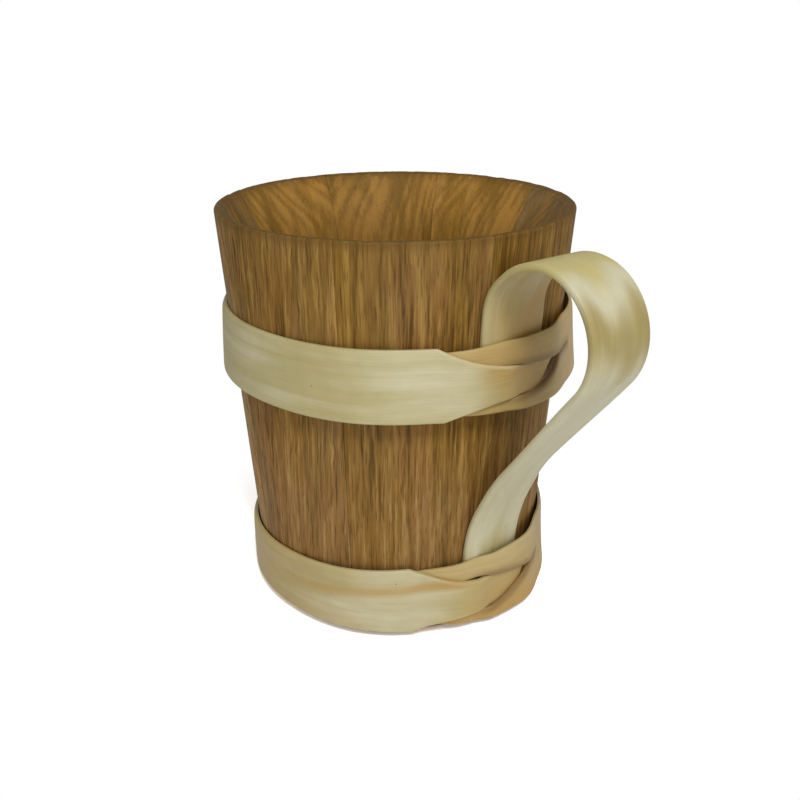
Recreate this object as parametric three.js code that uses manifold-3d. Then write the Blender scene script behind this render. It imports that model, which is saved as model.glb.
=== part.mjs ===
// Coopered wooden tankard. Eight oak staves stand round an oak head, two split-wood hoops bind
// them, and one bent strip, its tails tucked under the hoops, is the handle.
// Millimetres and degrees, +Z up. The handle points along +X and the foot stands on z = 0.

import * as THREE from "three";
import { mergeVertices } from "three/addons/utils/BufferGeometryUtils.js";
import Module from "manifold-3d";

// Body
const HEIGHT = 122;
const FOOT_RADIUS = 45.4;
const RIM_RADIUS = 53.2;
const WALL = 9.5;
const RIM_LAND = 2;
const RIM_BEVEL_DEPTH = 15;
const RIM_BEVEL_BLEND = 6;
const EDGE_BREAK = 0.8;
const STAVE_COUNT = 8;
const STAVE_GAP = 0.2;
const FIRST_JOINT_ANGLE = -8.2;

// Head and the groove that holds it
const HEAD_RECESS = 8;
const HEAD_THICKNESS = 8;
const HEAD_EDGE = 4;
const HEAD_BEVEL_RUN = 5;
const CROZE_DEPTH = 3;
const HEAD_CLEARANCE = 0.3;

// Hoops: the upper edge of the lower one is highest at its rise angle and lowest opposite it.
const HOOP_THICKNESS = 1.5;
const UPPER_HOOP_BOTTOM = 73.7;
const UPPER_HOOP_WIDTH = 20.3;
const UPPER_HOOP_FLARE = 1.1;
const LOWER_HOOP_BOTTOM = 2.6;
const LOWER_HOOP_WIDTH = 20.3;
const LOWER_HOOP_FLARE = 0.2;
const LOWER_HOOP_RISE = 3.1;
const LOWER_HOOP_RISE_ANGLE = 30;
const FIT_CLEARANCE = 0.15;

// Hoop locks: a tongue at one end of the strip passes through a slot in the other end.
// Angles run round the axis from the handle; those of a lock are counted from the lock's middle.
const LOCK_THICKNESS = 1.2;
const CROSSING_SPAN = 4;
const UPPER_LOCK_ANGLE = -1;
const LOWER_LOCK_ANGLE = -5;

// Slot: its closing line lies off the middle of the strip and runs on to the right as a fine slit.
const SLOT_LEFT_SPAN = 16;
const SLOT_LEFT_CURVE = 4;
const UPPER_SLOT_LINE = 1.1;
const UPPER_SLOT_RISE = 2;
const UPPER_SLOT_DROP = 7.2;
const UPPER_SLOT_DROP_CURVE = 2.4;
const UPPER_SLOT_RIGHT_SPAN = 20.5;
const LOWER_SLOT_LINE = 0.3;
const LOWER_SLOT_RISE = 3.8;
const LOWER_SLOT_DROP = 6.9;
const LOWER_SLOT_DROP_CURVE = 1.5;
const LOWER_SLOT_RIGHT_SPAN = 23;
const SLIT_SPAN = 32;
const SLIT_HEIGHT = 0.4;

// Tongue: it narrows from its two shoulders, then from below to its tip.
const TONGUE_TOP_CLEARANCE = 1.1;
const TONGUE_BOTTOM_CLEARANCE = 0.4;
const TONGUE_TOP_TAPER = 32;
const UPPER_TOP_SHOULDER_SPAN = 23.5;
const UPPER_BOTTOM_SHOULDER_SPAN = 22;
const UPPER_BOTTOM_TAPER = 20;
const LOWER_TOP_SHOULDER_SPAN = 27;
const LOWER_BOTTOM_SHOULDER_SPAN = 26;
const LOWER_BOTTOM_TAPER = 24;
const TONGUE_TIP_WIDTH = 2;
const TONGUE_TIP_START_SPAN = 5;
const TONGUE_TIP_FULL_SPAN = 17;
const TONGUE_END_SPAN = 30;

// Slotted end: thinned and narrowed where it lies under the tongue's shoulders.
const INNER_END_SPAN = 40;
const INNER_END_THICKNESS = 0.8;
const INNER_END_INSET = 2.4;
const INNER_END_RELEASE_SPAN = 8;
const OVERLAP_RAMP = 40;
const RELEASE_MARGIN = 10;
const RELEASE_RAMP = 36;

// Handle
const HANDLE_WIDTH = 20.3;
const HANDLE_THICKNESS = 2;
const HANDLE_CREST_RADIUS = 17.6;
const HANDLE_ABOVE_HOOP = 7.5;
const HANDLE_SLANT = 34.2;
const HANDLE_FOOT_RADIUS = 66;
const HANDLE_TWIST = 4;
const HANDLE_EDGE_ROUND = 0.6;
const HANDLE_TAIL_MARGIN = 3;
const HANDLE_CUP_FADE = 5;
const HANDLE_RAMP = 16;

// Facets
const WALL_FACETS_PER_STAVE = 12;
const HOOP_STEP = 3;
const SLOT_STEP = 1.5;
const HANDLE_STATIONS = 64;
const BLEND_FACETS = 6;

// Colours
const OAK = { color: 0x8a6236, roughness: 0.6, metalness: 0 };
const HEAD_OAK = { color: 0x7d5830, roughness: 0.65, metalness: 0 };
const SPLIT_WOOD = { color: 0xcfc08c, roughness: 0.5, metalness: 0 };

const wasm = await Module();
wasm.setup();

const { clamp, degToRad, lerp, radToDeg, smoothstep } = THREE.MathUtils;

const wallSlope = (RIM_RADIUS - FOOT_RADIUS) / HEIGHT;
const wallLean = Math.atan(wallSlope);
const outerRadius = (z) => FOOT_RADIUS + wallSlope * z;
const innerRadius = (z) => outerRadius(z) - WALL;

const edgeBottom = HEAD_RECESS + (HEAD_THICKNESS - HEAD_EDGE) / 2;
const crozeBottom = edgeBottom - HEAD_CLEARANCE;
const crozeTop = edgeBottom + HEAD_EDGE + HEAD_CLEARANCE;
const crozeRadius = Math.max(innerRadius(crozeTop), innerRadius(crozeBottom)) + CROZE_DEPTH;

// Solids

function toSolid(geometry) {
  const bare = new THREE.BufferGeometry();
  bare.setAttribute("position", geometry.getAttribute("position"));
  bare.setIndex(geometry.getIndex());
  const merged = mergeVertices(bare, 1e-4);
  const mesh = new wasm.Mesh({
    numProp: 3,
    vertProperties: Float32Array.from(merged.getAttribute("position").array),
    triVerts: Uint32Array.from(merged.getIndex().array),
  });
  return new wasm.Manifold(mesh);
}

function toGeometry(solid) {
  const mesh = solid.getMesh();
  const geometry = new THREE.BufferGeometry();
  geometry.setAttribute("position", new THREE.BufferAttribute(mesh.vertProperties, 3));
  geometry.setIndex(new THREE.BufferAttribute(mesh.triVerts, 1));
  return geometry;
}

function toMesh(name, geometry, finish) {
  geometry.computeVertexNormals();
  const mesh = new THREE.Mesh(geometry, new THREE.MeshStandardMaterial(finish));
  mesh.name = name;
  return mesh;
}

function revolve(profile, facets) {
  const geometry = new THREE.LatheGeometry(profile, facets);
  return geometry.rotateX(Math.PI / 2);
}

// Triangles that zigzag along a strip's section, from its first and last points to the far edge.
function zigzag(size) {
  const triangles = [];
  let low = 0;
  let high = size - 1;
  while (high - low > 1) {
    triangles.push([low, low + 1, high]);
    low += 1;
    if (high - low > 1) {
      triangles.push([low, high - 1, high]);
      high -= 1;
    }
  }
  return triangles;
}

// A closed skin through rings of equally many points, each a section of a strip.
function loft(rings) {
  const size = rings[0].length;
  const last = (rings.length - 1) * size;
  const index = [];
  for (let ring = 0; ring + 1 < rings.length; ring++) {
    for (let side = 0; side < size; side++) {
      const a = ring * size + side;
      const b = ring * size + ((side + 1) % size);
      index.push(a, b + size, b, a, a + size, b + size);
    }
  }
  for (const [a, b, c] of zigzag(size)) {
    index.push(a, b, c);
    index.push(last + c, last + b, last + a);
  }
  const geometry = new THREE.BufferGeometry().setFromPoints(rings.flat());
  geometry.setIndex(index);
  return geometry;
}

// Staves

function wallProfile() {
  const bevelFoot = HEIGHT - RIM_BEVEL_DEPTH;
  const bevelStart = new THREE.Vector2(RIM_RADIUS - RIM_LAND, HEIGHT);
  const bevelEnd = new THREE.Vector2(innerRadius(bevelFoot), bevelFoot);
  const blendStart = bevelEnd.clone().lerp(bevelStart, RIM_BEVEL_BLEND / RIM_BEVEL_DEPTH);
  const blendEnd = bevelFoot - RIM_BEVEL_BLEND;
  const path = new THREE.Path();
  path.moveTo(FOOT_RADIUS - EDGE_BREAK, 0);
  path.lineTo(outerRadius(EDGE_BREAK), EDGE_BREAK);
  path.lineTo(outerRadius(HEIGHT - EDGE_BREAK), HEIGHT - EDGE_BREAK);
  path.lineTo(RIM_RADIUS - EDGE_BREAK, HEIGHT);
  path.lineTo(bevelStart.x, bevelStart.y);
  path.lineTo(blendStart.x, blendStart.y);
  path.quadraticCurveTo(bevelEnd.x, bevelEnd.y, innerRadius(blendEnd), blendEnd);
  path.lineTo(innerRadius(crozeTop), crozeTop);
  path.lineTo(crozeRadius, crozeTop);
  path.lineTo(crozeRadius, crozeBottom);
  path.lineTo(innerRadius(crozeBottom), crozeBottom);
  path.lineTo(innerRadius(0), 0);
  path.closePath();
  return path.getPoints(BLEND_FACETS);
}

// The room of one stave: a sector whose sides stand half a joint gap off the radial planes.
function staveSector(startAngle) {
  const halfAngle = Math.PI / STAVE_COUNT;
  const reach = 3 * RIM_RADIUS;
  const apex = STAVE_GAP / 2 / Math.sin(halfAngle);
  const side = reach * Math.sin(halfAngle);
  const far = apex + reach * Math.cos(halfAngle);
  const outline = new THREE.Shape();
  outline.moveTo(apex, 0);
  outline.lineTo(far, -side);
  outline.lineTo(far, side);
  outline.closePath();
  const sector = new THREE.ExtrudeGeometry(outline, { depth: 3 * HEIGHT, bevelEnabled: false });
  sector.translate(0, 0, -HEIGHT);
  return sector.rotateZ(degToRad(startAngle) + halfAngle);
}

function staves() {
  const wall = toSolid(revolve(wallProfile(), STAVE_COUNT * WALL_FACETS_PER_STAVE));
  const pieces = [];
  for (let number = 1; number <= STAVE_COUNT; number++) {
    const startAngle = FIRST_JOINT_ANGLE + ((number - 1) * 360) / STAVE_COUNT;
    const stave = wall.intersect(toSolid(staveSector(startAngle)));
    pieces.push(toMesh(`stave_${number}`, toGeometry(stave), OAK));
  }
  return pieces;
}

// Head

function head() {
  const top = HEAD_RECESS + HEAD_THICKNESS;
  const edgeTop = edgeBottom + HEAD_EDGE;
  const seat = Math.min(innerRadius(HEAD_RECESS), innerRadius(top)) - HEAD_CLEARANCE;
  const rim = crozeRadius - HEAD_CLEARANCE;
  const profile = [
    new THREE.Vector2(0, HEAD_RECESS),
    new THREE.Vector2(seat - HEAD_BEVEL_RUN, HEAD_RECESS),
    new THREE.Vector2(seat, edgeBottom),
    new THREE.Vector2(rim, edgeBottom),
    new THREE.Vector2(rim, edgeTop),
    new THREE.Vector2(seat, edgeTop),
    new THREE.Vector2(seat - HEAD_BEVEL_RUN, top),
    new THREE.Vector2(0, top),
  ];
  return toMesh("head", revolve(profile, STAVE_COUNT * WALL_FACETS_PER_STAVE), HEAD_OAK);
}

// Hoops

// Sections: share of the width from the lower edge, share of the thickness.
const SQUARE_SECTION = [
  [0, 1],
  [1, 1],
  [1, 0],
  [0, 0],
];
const CROWNED_SECTION = [
  [0, 0.5],
  [0.1, 0.86],
  [0.5, 1],
  [0.9, 0.86],
  [1, 0.5],
  [1, 0],
  [0, 0],
];

function ringAt(angle, section, strip) {
  const turn = degToRad(angle);
  return section.map(([across, rise]) => {
    const radius = lerp(strip.lowRadius, strip.highRadius, across) + rise * strip.thickness;
    const z = lerp(strip.low, strip.high, across);
    return new THREE.Vector3(radius * Math.cos(turn), radius * Math.sin(turn), z);
  });
}

function steps(start, end, step) {
  const count = Math.ceil((end - start) / step);
  return Array.from({ length: count + 1 }, (_, i) => lerp(start, end, i / count));
}

function hoop(name, { bottom, width, flare, rise, riseAngle, lockAngle, slot, tongue }) {
  const top = bottom + width;
  const slotLine = bottom + width / 2 + slot.line;
  const highRadius = Math.max(outerRadius(top + rise), outerRadius(bottom)) + FIT_CLEARANCE;
  const lowRadius = highRadius + flare;
  const layer = LOCK_THICKNESS + FIT_CLEARANCE;
  const tailLayer = HANDLE_THICKNESS + FIT_CLEARANCE;
  const innerEnd = lockAngle - INNER_END_SPAN;
  const slotStart = lockAngle - SLOT_LEFT_SPAN;
  const slitEnd = lockAngle + SLIT_SPAN;
  const tongueEnd = lockAngle + TONGUE_END_SPAN;
  const releaseStart = tongueEnd + RELEASE_MARGIN;
  const releaseEnd = releaseStart + RELEASE_RAMP;

  // Heights on the strip, raised with the rise of its upper edge.
  const raised = (z, angle) => z + (rise * Math.cos(degToRad(angle - riseAngle)) * (z - bottom)) / width;

  // How far the handle's tail lifts whatever lies over it.
  const tailHalfAngle = radToDeg((HANDLE_WIDTH / 2 + 2 * FIT_CLEARANCE) / outerRadius(bottom));
  const tailLift = (angle) => {
    const away = Math.abs(angle) - tailHalfAngle;
    return tailLayer * (1 - smoothstep(away, 0, HANDLE_RAMP));
  };
  const crossing = (angle) => smoothstep(angle, lockAngle - CROSSING_SPAN, lockAngle + CROSSING_SPAN);

  // The slotted end lies on the wall and the handle's tail, then over the tongue.
  const slottedStrip = (angle) => {
    const overTongue = 1 - smoothstep(angle, releaseStart, releaseEnd);
    const lift = tailLift(angle) + layer * crossing(angle) * overTongue;
    const strip = lerp(HOOP_THICKNESS, LOCK_THICKNESS, overTongue);
    const insetLeft = 1 - smoothstep(angle, innerEnd, lockAngle + INNER_END_RELEASE_SPAN);
    const inset = INNER_END_INSET * insetLeft;
    return {
      low: raised(bottom + inset, angle),
      high: raised(top - inset, angle),
      lowRadius: lowRadius + lift,
      highRadius: highRadius + lift,
      thickness: lerp(INNER_END_THICKNESS, strip, smoothstep(angle, innerEnd, slotStart)),
    };
  };

  // The tongue end lies over the slotted end, goes through the slot and ends under the strip.
  const tongueHigh = slotLine + slot.rise - TONGUE_TOP_CLEARANCE;
  const tongueLow = slotLine - slot.drop + TONGUE_BOTTOM_CLEARANCE;
  const tonguePlan = (angle) => {
    const span = angle - lockAngle;
    const fromTop = clamp((span + tongue.topShoulder) / TONGUE_TOP_TAPER, 0, 1);
    const fromBottom = clamp((span + tongue.bottomShoulder) / tongue.bottomTaper, 0, 1);
    const tip = smoothstep(span, TONGUE_TIP_START_SPAN, TONGUE_TIP_FULL_SPAN);
    const high = lerp(top, tongueHigh, 1 - (1 - fromTop) ** 2);
    const low = lerp(bottom, tongueLow, 1 - (1 - fromBottom) ** 2);
    return {
      low: raised(lerp(low, high - TONGUE_TIP_WIDTH, tip), angle),
      high: raised(high, angle),
    };
  };
  const tongueStrip = (angle) => {
    const start = innerEnd - OVERLAP_RAMP;
    const over = smoothstep(angle, start, innerEnd) * (1 - crossing(angle));
    const lift = layer * over + (angle > start ? tailLift(angle) : 0);
    const whittled = smoothstep(angle, innerEnd, lockAngle - CROSSING_SPAN);
    return {
      ...tonguePlan(angle),
      lowRadius: lowRadius + lift,
      highRadius: highRadius + lift,
      thickness: lerp(HOOP_THICKNESS, LOCK_THICKNESS, whittled),
    };
  };

  // The slot, a leaf that runs on to the right as a fine slit.
  const slotGap = (angle) => {
    const left = angle < lockAngle;
    const share = clamp(Math.abs(angle - lockAngle) / (left ? SLOT_LEFT_SPAN : slot.rightSpan), 0, 1);
    const lift = slot.rise * (1 - share ** (left ? SLOT_LEFT_CURVE : 1));
    const drop = slot.drop * (1 - share ** (left ? SLOT_LEFT_CURVE : slot.dropCurve));
    return {
      low: raised(slotLine - Math.max(drop, SLIT_HEIGHT / 2), angle),
      high: raised(slotLine + Math.max(lift, SLIT_HEIGHT / 2), angle),
      lowRadius: highRadius - layer,
      highRadius: highRadius - layer,
      thickness: Math.max(flare, 0) + tailLayer + 3 * layer + HOOP_THICKNESS,
    };
  };

  // The band runs on from the slotted end, right round to the tip of the tongue.
  const joinAngle = releaseEnd + 2 * HOOP_STEP;
  const slottedAngles = steps(innerEnd, joinAngle, HOOP_STEP);
  const slotAngles = steps(slotStart, slitEnd, SLOT_STEP);
  const bandAngles = [slottedAngles.at(-2), ...steps(joinAngle, tongueEnd + 360, HOOP_STEP)];
  const slotted = slottedAngles.map((angle) => ringAt(angle, CROWNED_SECTION, slottedStrip(angle)));
  const opening = slotAngles.map((angle) => ringAt(angle, SQUARE_SECTION, slotGap(angle)));
  const band = bandAngles.map((angle) => ringAt(angle, CROWNED_SECTION, tongueStrip(angle - 360)));
  const solid = toSolid(loft(slotted)).subtract(toSolid(loft(opening))).add(toSolid(loft(band)));
  return toMesh(name, toGeometry(solid), SPLIT_WOOD);
}

const upperHoop = {
  bottom: UPPER_HOOP_BOTTOM,
  width: UPPER_HOOP_WIDTH,
  flare: UPPER_HOOP_FLARE,
  rise: 0,
  riseAngle: 0,
  lockAngle: UPPER_LOCK_ANGLE,
  slot: {
    line: UPPER_SLOT_LINE,
    rise: UPPER_SLOT_RISE,
    drop: UPPER_SLOT_DROP,
    dropCurve: UPPER_SLOT_DROP_CURVE,
    rightSpan: UPPER_SLOT_RIGHT_SPAN,
  },
  tongue: {
    topShoulder: UPPER_TOP_SHOULDER_SPAN,
    bottomShoulder: UPPER_BOTTOM_SHOULDER_SPAN,
    bottomTaper: UPPER_BOTTOM_TAPER,
  },
};

const lowerHoop = {
  bottom: LOWER_HOOP_BOTTOM,
  width: LOWER_HOOP_WIDTH,
  flare: LOWER_HOOP_FLARE,
  rise: LOWER_HOOP_RISE,
  riseAngle: LOWER_HOOP_RISE_ANGLE,
  lockAngle: LOWER_LOCK_ANGLE,
  slot: {
    line: LOWER_SLOT_LINE,
    rise: LOWER_SLOT_RISE,
    drop: LOWER_SLOT_DROP,
    dropCurve: LOWER_SLOT_DROP_CURVE,
    rightSpan: LOWER_SLOT_RIGHT_SPAN,
  },
  tongue: {
    topShoulder: LOWER_TOP_SHOULDER_SPAN,
    bottomShoulder: LOWER_BOTTOM_SHOULDER_SPAN,
    bottomTaper: LOWER_BOTTOM_TAPER,
  },
};

// Handle

// Centre line in the plane of the handle: x is the distance out from the wall, y runs up along it.
function handlePath() {
  const slant = degToRad(HANDLE_SLANT);
  const upperTail = UPPER_HOOP_BOTTOM + HANDLE_TAIL_MARGIN;
  const lowerTail = LOWER_HOOP_BOTTOM + HANDLE_TAIL_MARGIN;
  const leavesWall = UPPER_HOOP_BOTTOM + UPPER_HOOP_WIDTH + HANDLE_ABOVE_HOOP;
  const seat = FIT_CLEARANCE + HANDLE_THICKNESS / 2;
  const reachBack = HANDLE_CREST_RADIUS * (1 + Math.cos(slant));
  const footBack = HANDLE_FOOT_RADIUS * (1 - Math.cos(slant));
  const straight = (reachBack - footBack) / Math.sin(slant);
  const crestEnd = leavesWall - HANDLE_CREST_RADIUS * Math.sin(slant);
  const bendStart = crestEnd - straight * Math.cos(slant);
  const landing = bendStart - HANDLE_FOOT_RADIUS * Math.sin(slant);
  const crestCentre = seat + HANDLE_CREST_RADIUS;
  const footCentre = seat + HANDLE_FOOT_RADIUS;
  const path = new THREE.Path();
  path.moveTo(seat, upperTail);
  path.lineTo(seat, leavesWall);
  path.absarc(crestCentre, leavesWall, HANDLE_CREST_RADIUS, Math.PI, -slant, true);
  path.absarc(footCentre, landing, HANDLE_FOOT_RADIUS, Math.PI - slant, Math.PI, false);
  path.lineTo(seat, lowerTail);
  const length = path.getLength();
  const crestLength = leavesWall - upperTail + HANDLE_CREST_RADIUS * (Math.PI + slant);
  const landingLength = crestLength + straight + HANDLE_FOOT_RADIUS * slant;
  return { path, seat, twistStart: crestLength / length, twistEnd: landingLength / length };
}

// Section of the strip with its four edges rounded off: across the width, through the thickness.
function handleSection() {
  const wide = HANDLE_WIDTH / 2;
  const thick = HANDLE_THICKNESS / 2;
  const round = HANDLE_EDGE_ROUND;
  return [
    [-wide, thick - round],
    [-wide + round, thick],
    [-wide / 2, thick],
    [0, thick],
    [wide / 2, thick],
    [wide - round, thick],
    [wide, thick - round],
    [wide, -thick + round],
    [wide - round, -thick],
    [wide / 2, -thick],
    [0, -thick],
    [-wide / 2, -thick],
    [-wide + round, -thick],
    [-wide, -thick + round],
  ];
}

function handle() {
  const { path, seat, twistStart, twistEnd } = handlePath();
  const section = handleSection();
  const rings = [];
  for (let station = 0; station <= HANDLE_STATIONS; station++) {
    const share = station / HANDLE_STATIONS;
    const point = path.getPointAt(share);
    const along = path.getTangentAt(share);
    const away = point.x - seat;
    const cup = 1 - smoothstep(away, 0, HANDLE_CUP_FADE);
    const slack = clamp((share - twistStart) / (twistEnd - twistStart), 0, 1);
    const twist = degToRad(HANDLE_TWIST) * Math.sin(Math.PI * slack) ** 2;
    rings.push(
      section.map(([across, through]) => {
        const side = across * Math.cos(twist) + through * Math.sin(twist);
        const rise = through * Math.cos(twist) - across * Math.sin(twist);
        const out = point.x - along.y * rise;
        const up = point.y + along.x * rise;
        const radius = FOOT_RADIUS + out * Math.cos(wallLean) + up * Math.sin(wallLean);
        const bend = side / radius;
        const x = lerp(radius, radius * Math.cos(bend), cup);
        const y = lerp(side, radius * Math.sin(bend), cup);
        const z = up * Math.cos(wallLean) - out * Math.sin(wallLean);
        return new THREE.Vector3(x, y, z);
      }),
    );
  }
  return toMesh("handle", toGeometry(toSolid(loft(rings))), SPLIT_WOOD);
}

// Whole tankard, its middle over the origin

const tankard = new THREE.Group();
tankard.name = "tankard";
tankard.add(...staves());
tankard.add(head());
tankard.add(hoop("upper_hoop", upperHoop));
tankard.add(hoop("lower_hoop", lowerHoop));
tankard.add(handle());

const middle = new THREE.Box3().setFromObject(tankard).getCenter(new THREE.Vector3());
tankard.position.set(-middle.x, -middle.y, 0);

export default tankard;
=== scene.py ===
"""Coopered wooden tankard, dressed for looks.

Oak staves stand round a recessed head. Two split-wood hoops bind them, each locked by a tongue in
a slot, and one bent strip with its tails tucked under the hoops is the handle.

Sizes are in millimetres and angles in degrees, as in the CAD source, until a piece is finished.
Heights run up from the foot. Angles run round the axis of the vessel from the handle.
The weights and limits inside the finishes were set by the photograph.
"""

import logging
import math
from collections.abc import Callable, Mapping, Sequence
from dataclasses import dataclass, field
from enum import Enum

import bmesh
import bpy
from mathutils import Matrix, Vector, noise


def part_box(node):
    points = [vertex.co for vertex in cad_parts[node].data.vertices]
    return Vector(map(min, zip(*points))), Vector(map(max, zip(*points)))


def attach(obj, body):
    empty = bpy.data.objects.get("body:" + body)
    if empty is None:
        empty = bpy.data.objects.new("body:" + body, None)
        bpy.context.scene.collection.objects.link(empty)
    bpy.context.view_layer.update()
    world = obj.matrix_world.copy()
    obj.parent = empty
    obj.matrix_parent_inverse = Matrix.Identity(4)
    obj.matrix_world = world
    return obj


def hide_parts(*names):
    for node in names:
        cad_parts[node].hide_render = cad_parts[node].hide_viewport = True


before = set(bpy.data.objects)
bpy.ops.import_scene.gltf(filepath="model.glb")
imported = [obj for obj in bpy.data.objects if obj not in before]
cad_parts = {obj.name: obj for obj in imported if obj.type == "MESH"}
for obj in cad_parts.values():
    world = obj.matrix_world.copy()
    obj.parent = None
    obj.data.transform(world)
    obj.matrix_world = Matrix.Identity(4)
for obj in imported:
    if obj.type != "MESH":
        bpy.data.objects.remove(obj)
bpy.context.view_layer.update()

MM = 0.001
WELD = 0.01  # points of a shape that lie nearer than this are one, in millimetres
MIX_FIRST, MIX_SECOND, MIX_RESULT = 6, 7, 2  # the Mix node's sockets for colours
LOG = logging.getLogger("tankard")

Colour = tuple[float, float, float]
Range = tuple[float, float]
Rates = tuple[float, float, float]

WHITE: Colour = (1.0, 1.0, 1.0)
TAN: Colour = (0.496, 0.330, 0.112)
AMBER: Colour = (0.510, 0.310, 0.085)
# Painted shade, laid as a tint where a strip turns away from the light.
PAINTED_SHADE_KHAKI: Colour = (0.355, 0.275, 0.095)
STRAW: Colour = (0.560, 0.475, 0.190)
# Painted sheen and reflection, laid as a pale tint where light glances off a strip.
PAINTED_SHEEN: Colour = (0.620, 0.575, 0.385)


class Signal:
    """A value or colour that a shader works out at every point, and the sums it goes into."""

    def __init__(self, board: "ShaderBoard", socket: bpy.types.NodeSocket) -> None:
        """Keeps the board and the socket that gives the value."""
        self.board = board
        self.socket = socket

    def __add__(self, other: "Value") -> "Signal":
        """The sum of both."""
        return self.board.math("ADD", self, other)

    def __sub__(self, other: "Value") -> "Signal":
        """This less the other."""
        return self.board.math("SUBTRACT", self, other)

    def __rsub__(self, other: float) -> "Signal":
        """The other less this."""
        return self.board.math("SUBTRACT", other, self)

    def __mul__(self, other: "Value") -> "Signal":
        """The product of both."""
        return self.board.math("MULTIPLY", self, other)

    def __abs__(self) -> "Signal":
        """The value without its sign."""
        return self.board.math("ABSOLUTE", self)

    __radd__ = __add__
    __rmul__ = __mul__

    def rise(self, low: float, high: float) -> "Signal":
        """A smooth rise from 0 where the value is low to 1 where it is high."""
        inputs = {"Value": self, "From Min": low, "From Max": high}
        return self.board.add("MapRange", inputs, "Result", interpolation_type="SMOOTHSTEP")

    def fall(self, low: float, high: float) -> "Signal":
        """A smooth fall from 1 where the value is low to 0 where it is high."""
        return 1.0 - self.rise(low, high)


Value = float | Signal
Inputs = Mapping[str | int, Value | Sequence[float]]
Place = tuple[Signal, Signal, Signal]


def lerp(start: Value, end: Value, share: Value) -> Value:
    """The value that lies a share of the way from start to end."""
    return start + (end - start) * share


def clamp(value: float) -> float:
    """The value, held between 0 and 1."""
    return min(max(value, 0.0), 1.0)


def rise(value: float, low: float, high: float) -> float:
    """A smooth rise from 0 at low to 1 at high."""
    share = clamp((value - low) / (high - low))
    return share * share * (3.0 - 2.0 * share)


def fall(value: float, low: float, high: float) -> float:
    """A smooth fall from 1 at low to 0 at high."""
    return 1.0 - rise(value, low, high)


def steps(start: float, end: float, step: float) -> list[float]:
    """Evenly spread values from start to end, no further apart than step."""
    count = math.ceil((end - start) / step)
    return [lerp(start, end, number / count) for number in range(count + 1)]


def put(name: str, data: bpy.types.ID) -> bpy.types.Object:
    """A new object in the scene."""
    thing = bpy.data.objects.new(name, data)
    bpy.context.scene.collection.objects.link(thing)
    return thing


def spin(bm: bmesh.types.BMesh, angle: float, count: int, merge: bool = False) -> None:
    """Sweeps everything in a bmesh round the vessel's axis, by an angle in radians."""
    geom = [*bm.verts, *bm.edges, *bm.faces]
    bmesh.ops.spin(bm, geom=geom, axis=(0.0, 0.0, 1.0), angle=angle, steps=count, use_merge=merge)


class ShaderBoard:
    """The node tree of a new material or world, with short ways to add to it."""

    def __init__(self, owner: bpy.types.Material | bpy.types.World) -> None:
        """Empties the tree.

        Args:
            owner: The material or world.
        """
        owner.use_nodes = True
        self.owner = owner
        self.tree = owner.node_tree
        self.tree.nodes.clear()

    def node(self, kind: str, inputs: Inputs, **settings: object) -> bpy.types.Node:
        """Adds a node.

        Args:
            kind: Blender's name for the node type, without its first word.
            inputs: Signals or plain values for its inputs, by name or number.
            settings: Properties to set on the node.

        Returns:
            The new node.
        """
        new = self.tree.nodes.new(f"ShaderNode{kind}")
        for key, setting in settings.items():
            setattr(new, key, setting)
        for key, source in inputs.items():
            socket = new.inputs[key]
            if isinstance(source, Signal):
                self.tree.links.new(source.socket, socket)
            else:
                socket.default_value = (*source, 1.0) if socket.type == "RGBA" else source
        return new

    def add(self, kind: str, inputs: Inputs, output: str | int = 0, **settings: object) -> Signal:
        """Adds a node and gives back one of its outputs."""
        return Signal(self, self.node(kind, inputs, **settings).outputs[output])

    def math(self, operation: str, *values: Value) -> Signal:
        """One step of arithmetic, under Blender's name for it."""
        return self.add("Math", dict(enumerate(values)), operation=operation)

    def larger(self, first: Value, second: Value) -> Signal:
        """The larger of two values."""
        return self.math("MAXIMUM", first, second)

    def blend(self, share: Value, first: Signal | Colour, second: Signal | Colour) -> Signal:
        """A colour a share of the way from the first to the second."""
        inputs = {"Factor": share, MIX_FIRST: first, MIX_SECOND: second}
        return self.add("Mix", inputs, MIX_RESULT, data_type="RGBA")

    def shade(self, colour: Signal | Colour, factor: Value) -> Signal:
        """The colour with its brightness multiplied by a factor."""
        return self.add("VectorMath", {0: colour, "Scale": factor}, operation="SCALE")

    def length(self, vector: Signal) -> Signal:
        """The length of a vector."""
        return self.add("VectorMath", {0: vector}, "Value", operation="LENGTH")

    def vector(self, *values: Value) -> Signal:
        """A vector from its values, 0 where one is left out."""
        return self.add("CombineXYZ", dict(enumerate(values)))

    def parts(self, vector: Signal) -> Place:
        """The three values of a vector."""
        separate = self.node("SeparateXYZ", {0: vector})
        return tuple(Signal(self, socket) for socket in separate.outputs)

    def noise(self, place: Signal, detail: float, roughness: float = 0.5) -> Signal:
        """Soft noise around 0.5, about one blotch to a unit, with a number of finer layers."""
        inputs = {"Vector": place, "Scale": 1.0, "Detail": detail, "Roughness": roughness}
        return self.add("TexNoise", inputs, "Fac")

    def surface(
        self, colour: Signal, roughness: Signal, height: Signal, depth: float, gloss: float
    ) -> None:
        """Adds the surface shader, with its bump, and the output.

        Args:
            colour: Base colour.
            roughness: Roughness.
            height: Height of the bump, from 0 to 1.
            depth: Depth of the bump in millimetres.
            gloss: Level of the mirror-like reflection.
        """
        bump = self.add("Bump", {"Strength": 1.0, "Distance": depth * MM, "Height": height})
        inputs = {"Base Color": colour, "Roughness": roughness, "Normal": bump}
        shader = self.add("BsdfPrincipled", {**inputs, "Specular IOR Level": gloss})
        self.node("OutputMaterial", {"Surface": shader})


class Cut(Enum):
    """How a board was cut from the log: where the pith lies, out from the board and along it."""

    FLAT = (-46.0, -70.0)
    RIFT = (-16.0, -84.0)
    QUARTER = (8.0, -96.0)


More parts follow.
